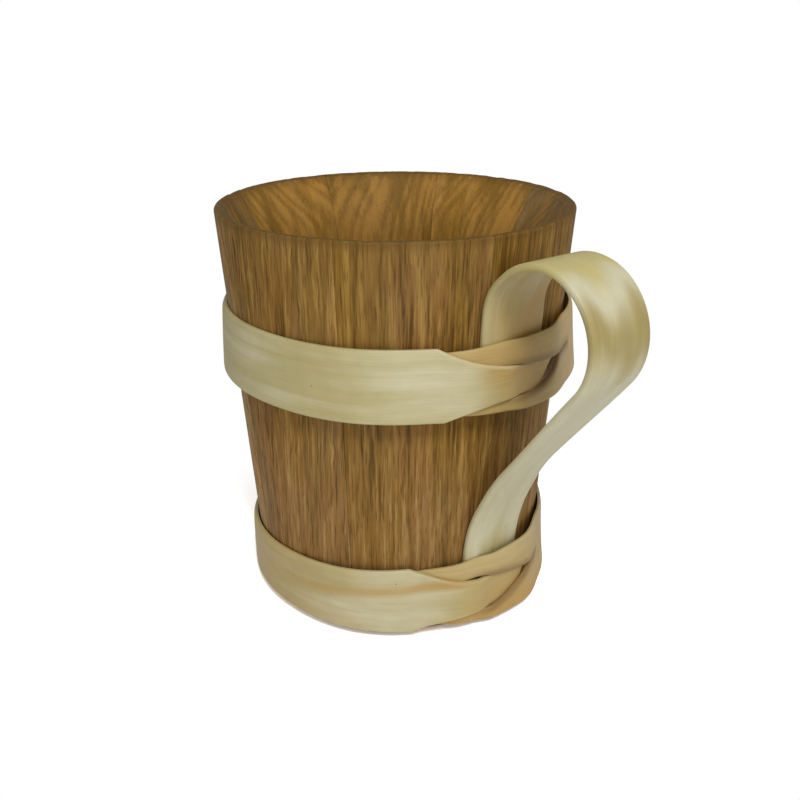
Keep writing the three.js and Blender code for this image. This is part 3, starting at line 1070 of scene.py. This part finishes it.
@dataclass
class Hoop:
    """A split-wood hoop, its tongue end passed through a slot in its other end.

    Attributes:
        flare: How much wider its lower edge is than its upper one.
        climb: How far its upper edge rises at the climb's angle, and falls opposite it.
        arm_flare: How far the arm below its slot stands out at its lower edge.
        feather: Distance from the upper edge over which it thins.
        waver: How far its edges wander up and down.
        cut_reach: Distances from a cut between which its freshness ends.
        shadow_and_dirt_reach: Distances from the slot between which the painted shadow and soiling end.
    """

    vessel: Vessel
    handle: Handle
    name: str
    bottom: float
    flare: float
    lock: Lock
    wood: SplitWoodFinish
    climb: float = 0.0
    climb_angle: float = 0.0
    arm_flare: float = 0.9
    width: float = 20.3
    thickness: float = 1.5
    clearance: float = 0.15
    tail_ramp: float = 16.0
    feather: float = 2.2
    feather_drop: float = 0.5
    edge_round: float = 0.5
    edge_drop: float = 0.3
    crown: float = 0.06
    waver: float = 0.12
    waver_rate: float = 2.5
    slot_cut: float = 0.4
    cut_reach: Range = (0.3, 0.9)
    shadow_and_dirt_reach: Range = (0.2, 3.0)
    fine_step: float = 0.75
    middle_step: float = 1.5
    plain_step: float = 2.0

    @property
    def top(self) -> float:
        """Height of the upper edge."""
        return self.bottom + self.width

    @property
    def middle(self) -> float:
        """Height of the middle line."""
        return self.bottom + self.width / 2

    @property
    def high_radius(self) -> float:
        """Radius of the back at the upper edge, where nothing lies under it."""
        return self.vessel.outer(self.top + self.climb) + self.clearance

    @property
    def tail_half(self) -> float:
        """Angle from the middle of the handle's tail to its edge."""
        half = self.handle.width / 2 + 2 * self.clearance
        return math.degrees(half / self.vessel.outer(self.bottom))

    def lift(self, span: float, layers: float) -> float:
        """How far other pieces lift the strip off the wall.

        Args:
            span: Angle from the middle of the lock.
            layers: Layers of the lock under it.

        Returns:
            The distance.
        """
        away = abs(span + self.lock.angle) - self.tail_half
        tail = fall(away, 0.0, self.tail_ramp)
        plain = tail * self.handle.thickness + layers * self.lock.thickness
        return plain + (tail + layers) * self.clearance

    def tongue(self, span: float) -> Column:
        """The strip towards its tongue.

        Args:
            span: Angle from the middle of the lock.

        Returns:
            The column there.
        """
        lock = self.lock
        line = self.middle + lock.line
        shoulders = (lock.bottom_shoulder, lock.top_shoulder)
        tapers = (lock.bottom_taper, lock.top_taper)
        climbed, fallen = (
            1 - (1 - clamp((span + shoulder) / taper)) ** 2 for shoulder, taper in zip(shoulders, tapers)
        )
        low = lerp(self.bottom, line - lock.drop + lock.bottom_clearance, climbed)
        high = lerp(self.top, line + lock.rise - lock.top_clearance, fallen)
        over = rise(span, -lock.inner_end - lock.overlap_ramp, -lock.inner_end)
        whittled = rise(span, -lock.inner_end, -lock.crossing)
        return Column(
            low=lerp(low, high - lock.tip_width, rise(span, *lock.tip)),
            high=high,
            thickness=lerp(self.thickness, lock.thickness, whittled),
            lift=self.lift(span, over * (1 - lock.crossed(span))),
            cuts=tuple(rise(span + shoulder, *lock.shoulder) for shoulder in shoulders),
        )

    def slotted(self, span: float) -> Column:
        """The strip towards its slotted end.

        Args:
            span: Angle from the middle of the lock.

        Returns:
            The column there.
        """
        lock = self.lock
        line = self.middle + lock.line * fall(span, lock.slit, lock.line_end)
        slot = (line, line)
        if -lock.slot_left < span < lock.slit:
            left = span < 0
            share = clamp(abs(span) / (lock.slot_left if left else lock.slot_right))
            drop = lock.drop * (1 - share ** (lock.left_curve if left else lock.drop_curve))
            height = lock.rise * (1 - share ** (lock.left_curve if left else 1.0))
            least = lock.slit_height / 2
            slot = (line - max(drop, least), line + max(height, least))
        inset = lock.inner_end_inset * fall(span, -lock.inner_end, lock.inner_end_release)
        held = fall(span, *lock.release)
        full = lerp(self.thickness, lock.thickness, held)
        return Column(
            low=self.bottom + inset,
            high=self.top - inset,
            thickness=lerp(lock.inner_end_thickness, full, rise(span, -lock.inner_end, -lock.slot_left)),
            lift=self.lift(span, lock.crossed(span) * held),
            slot=slot,
            arm=self.arm_flare * rise(span, *lock.arm) * fall(span, *lock.arm_release),
            # Painted shadow and soiling along the slot.
            shadow_and_dirt=rise(span, *lock.shadow_and_dirt) * fall(span, *lock.shadow_and_dirt_end),
        )

    def column(self, angle: float) -> Column:
        """The strip at an angle along it."""
        span = angle - self.lock.angle
        return self.tongue(span - 360.0) if span > 180.0 else self.slotted(span)

    def plan(self, angle: float, share: float, above: bool) -> float:
        """Height of a point of the blank.

        Args:
            angle: Angle along the strip.
            share: Share of the way across, with 0.5 on the line of the slot.
            above: Whether the wood at this point lies above it.

        Returns:
            The height.
        """
        column = self.column(angle)
        if column.slot is None:
            return lerp(column.low, column.high, share)
        if share > 0.5 or (share == 0.5 and above):
            return lerp(column.slot[1], column.high, share * 2 - 1)
        return lerp(column.low, column.slot[0], share * 2)

    def fresh(self, angle: float, up: float) -> float:
        """How freshly cut the wood is.

        Args:
            angle: Angle along the strip.
            up: Height of the point.

        Returns:
            From 0 to 1 at the edges that the knife made.
        """
        column = self.column(angle)
        gaps = (column.from_slot(up), up - column.low, column.high - up)
        levels = (self.slot_cut, *column.cuts)
        return max(level * fall(gap, *self.cut_reach) for level, gap in zip(levels, gaps))

    def slot_shadow_and_dirt(self, angle: float, up: float) -> float:
        """Browning of the wood by painted shadow and soiling, from 0 to 1 at the slot's edges."""
        column = self.column(angle)
        return column.shadow_and_dirt * fall(column.from_slot(up), *self.shadow_and_dirt_reach)

    def left(self, column: Column, up: float) -> float:
        """Share of the thickness that is left, less towards the edges.

        Args:
            column: The strip at the point.
            up: Height of the point.

        Returns:
            The share.
        """
        nearest = min(up - column.low, column.from_slot(up))
        feather = lerp(self.feather, self.edge_round, column.cuts[1])
        feather_drop = lerp(self.feather_drop, self.edge_drop, column.cuts[1])
        crisp = 1 - self.edge_drop * (1 - clamp(nearest / self.edge_round)) ** 2
        soft = 1 - feather_drop * (1 - clamp((column.high - up) / feather)) ** 2
        bulge = 1 - self.crown * (2 * (up - self.middle) / self.width) ** 2
        return crisp * soft * bulge

    def place(self, angle: float, up: float, depth: float) -> Vector:
        """Bends a point of the flat strip round the body.

        Args:
            angle: Angle along the strip.
            up: Height of the point.
            depth: From 0 at the back to 1 at the face.

        Returns:
            The place about the vessel's axis.
        """
        column = self.column(angle)
        turn = math.radians(angle)
        east, north = math.cos(turn), math.sin(turn)
        lower = (self.top - up) / self.width
        out = column.lift + depth * column.thickness * self.left(column, up)
        radius = self.high_radius + (self.flare + column.arm * lower) * lower + out
        uneven = noise.noise(Vector((self.waver_rate * east, self.waver_rate * north, self.wood.seed)))
        climbed = self.climb * math.cos(turn - math.radians(self.climb_angle)) * (1 - lower)
        return Vector((radius * east, radius * north, up + climbed + self.waver * uneven))

    def stations(self) -> list[float]:
        """Angles of the blank's columns, closer together along the lock.

        Returns:
            The angles, from one end of the strip to the other.
        """
        lock = self.lock
        runs = (
            (-lock.slot_left, self.middle_step),
            (lock.slit, self.fine_step),
            (lock.release[1], self.middle_step),
            (360.0 - lock.inner_end, self.plain_step),
            (360.0 + lock.tip_end, self.fine_step),
        )
        angles = [lock.angle - lock.inner_end]
        for end, step in runs:
            angles.extend(steps(angles[-1], lock.angle + end, step)[1:])
        return angles

    def build(self, bench: Bench) -> None:
        """Makes and dresses the hoop.

        Args:
            bench: Where pieces are finished.
        """
        lock = self.lock
        rows = [share / 2 for share in Strip.edge_rows]
        strip = Strip(self.stations(), rows + [0.5 + row for row in rows[1:]])
        strip.split(0.5, lock.angle - lock.slot_left, lock.angle + lock.slit)
        strip.shape(self.plan)
        arc = math.radians(1.0) * (self.high_radius + self.thickness)
        strip.thicken(along=arc, thickness=self.thickness)
        # The second mark is painted shadow and soiling along the slot.
        for name, level in zip(Strip.marks, (self.fresh, self.slot_shadow_and_dirt)):
            strip.mark(name, level)
        strip.bend(self.place)
        length = arc * (360.0 + lock.inner_end + lock.tip_end)
        bench.finish(self.name, strip.bm, self.wood.material(f"{self.name}_wood", length))


@dataclass
class UpperHoop(Hoop):
    """The hoop that holds the handle's upper tail."""

    name: str = "upper_hoop"
    bottom: float = 73.7
    flare: float = 1.1
    lock: Lock = Lock(
        angle=-1.0, line=1.1, rise=2.0, drop=7.2, drop_curve=2.4, slot_right=20.5,
        top_shoulder=23.5, bottom_shoulder=22.0, bottom_taper=20.0,
    )
    wood: SplitWoodFinish = SplitWoodFinish(
        seed=21.0,
        tints=(
            Tint(TAN, place=0.0, reach=95.0, fade=26.0, share=0.82),
            Tint(TAN, place=165.0, reach=75.0, fade=45.0, share=0.4),
            # Painted highlight on the front of the hoop, over paler wood.
            Tint(PAINTED_SHEEN, place=347.0, reach=26.0, fade=18.0, share=0.35),
            Tint(TAN, place=395.0, reach=41.0, fade=18.0, share=0.95),
        ),
    )


@dataclass
class LowerHoop(Hoop):
    """The hoop that holds the handle's lower tail."""

    name: str = "lower_hoop"
    bottom: float = 2.6
    flare: float = 0.2
    climb: float = 3.1
    climb_angle: float = 30.0
    arm_flare: float = 1.5
    lock: Lock = Lock(
        angle=-5.0, line=0.3, rise=3.8, drop=6.9, drop_curve=1.5, slot_right=23.0,
        top_shoulder=27.0, bottom_shoulder=26.0, bottom_taper=24.0,
        tip=(14.0, 22.0), release=(30.0, 56.0),
    )
    wood: SplitWoodFinish = SplitWoodFinish(
        seed=47.0,
        tints=(
            Tint(AMBER, place=0.0, reach=92.0, fade=30.0, share=1.15, side=-0.035),
            Tint(TAN, place=215.0, reach=90.0, fade=45.0, share=0.55),
            # Painted highlight on the front of the hoop.
            Tint(PAINTED_SHEEN, place=314.0, reach=20.0, fade=16.0, share=0.5),
            Tint(TAN, place=368.0, reach=44.0, fade=24.0, share=1.0),
        ),
        heart=0.95,
        heart_start=-2.7,
        heart_drift=0.066,
        trimmed=0.3,
        cream=(0.472, 0.384, 0.165),
        olive=(0.443, 0.336, 0.118),
    )


@dataclass
class Studio:
    """Floor, backdrop, lights and camera.

    Attributes:
        axis: Point where the vessel's axis meets the floor, in metres.
        floor_level: Brightness of the floor in the light that it throws back.
        floor_seen: Its brightness to the camera.
        floor_fade: Distances between which it fades to white, in metres.
        lamp_target: Height that the lamps face, in metres.
    """

    axis: Vector
    camera_angle: float = -36.2
    camera_distance: float = 262.64
    camera_height: float = 171.9
    camera_pitch: float = 23.64
    camera_roll: float = -0.33
    focal_length: float = 39.42
    sensor_width: float = 36.0
    clip_start: float = 0.01
    shift: float = 0.00475
    floor_reach: float = 4.0
    floor_level: float = 0.95
    floor_seen: float = 2.6
    floor_fade: Range = (0.06, 0.115)
    ambient: float = 0.365
    lamp_target: float = 0.06

    def floor(self) -> None:
        """Lays a pale floor that keeps the shadow near the tankard and fades to white away from it."""
        bm = bmesh.new()
        bmesh.ops.create_grid(bm, x_segments=2, y_segments=2, size=self.floor_reach)
        mesh = bpy.data.meshes.new("floor")
        bm.to_mesh(mesh)
        bm.free()
        board = ShaderBoard(bpy.data.materials.new("pale_floor"))
        seen = board.add("LightPath", {}, "Is Camera Ray")
        away = board.length(board.add("TexCoord", {}, "Object")).rise(*self.floor_fade) * seen
        level = lerp(self.floor_level, self.floor_seen, seen)
        matt = board.add("BsdfDiffuse", {"Color": board.vector(level, level, level)})
        mix = board.add("MixShader", {0: away, 1: matt, 2: board.add("Emission", {})})
        board.node("OutputMaterial", {"Surface": mix})
        mesh.materials.append(board.owner)
        put("floor", mesh)

    def world(self) -> None:
        """Sets an even white surround that the camera sees as plain white."""
        board = ShaderBoard(bpy.data.worlds.new("surround"))
        strength = lerp(self.ambient, 1.0, board.add("LightPath", {}, "Is Camera Ray"))
        surround = board.add("Background", {"Color": WHITE, "Strength": strength})
        board.node("OutputWorld", {"Surface": surround})
        bpy.context.scene.world = board.owner

    def lamp(
        self, name: str, angle: float, elevation: float, distance: float, size: float, power: float
    ) -> None:
        """Hangs a square soft light that faces the tankard.

        Args:
            name: The light's name.
            angle: Direction from the axis, counted from the camera's to its right.
            elevation: Height above the horizon.
            distance: Distance from the tankard, in metres.
            size: Side of the light, in metres.
            power: Power in watts.
        """
        turn = math.radians(self.camera_angle + angle)
        tilt = math.radians(elevation)
        ray = Vector((math.cos(turn) * math.cos(tilt), math.sin(turn) * math.cos(tilt), math.sin(tilt)))
        light = bpy.data.lights.new(name, "AREA")
        light.shape = "SQUARE"
        light.size = size
        light.energy = power
        lamp = put(name, light)
        lamp.location = self.axis + Vector((0.0, 0.0, self.lamp_target)) + ray * distance
        lamp.rotation_euler = ray.to_track_quat("Z", "Y").to_euler()

    def camera(self) -> None:
        """Sets the camera where the photograph was taken from."""
        turn = math.radians(self.camera_angle)
        reach = self.camera_distance
        stand = Vector((math.cos(turn) * reach, math.sin(turn) * reach, self.camera_height))
        lens = bpy.data.cameras.new("camera")
        lens.lens = self.focal_length
        lens.sensor_width = self.sensor_width
        lens.sensor_fit = "HORIZONTAL"
        lens.shift_x = self.shift
        lens.clip_start = self.clip_start
        camera = put("camera", lens)
        yaw = Matrix.Rotation(turn + math.pi / 2, 4, "Z")
        pitch = Matrix.Rotation(math.radians(90.0 - self.camera_pitch), 4, "X")
        roll = Matrix.Rotation(math.radians(self.camera_roll), 4, "Z")
        camera.matrix_world = Matrix.Translation(self.axis + stand * MM) @ yaw @ pitch @ roll
        bpy.context.scene.camera = camera

    def build(self) -> None:
        """Sets up the whole studio."""
        bpy.context.scene.view_settings.view_transform = "Standard"
        self.camera()
        self.floor()
        self.world()
        self.lamp("key", angle=12.0, elevation=50.0, distance=0.75, size=0.18, power=2.62)
        self.lamp("fill", angle=15.0, elevation=8.0, distance=0.9, size=0.8, power=1.5)


def main() -> None:
    """Builds the pieces and the studio in order."""
    logging.basicConfig(level=logging.INFO, format="%(name)s %(message)s")
    low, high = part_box("head")
    axis = Vector(((low[0] + high[0]) / 2, (low[1] + high[1]) / 2, 0.0))
    Studio(axis).build()
    bench = Bench(axis)
    vessel = Vessel()
    handle = Handle(vessel)
    hoops = (UpperHoop(vessel, handle), LowerHoop(vessel, handle))
    for piece in (Staves(vessel), Head(vessel), *hoops, handle):
        piece.build(bench)


if __name__ == "__main__":
    main()
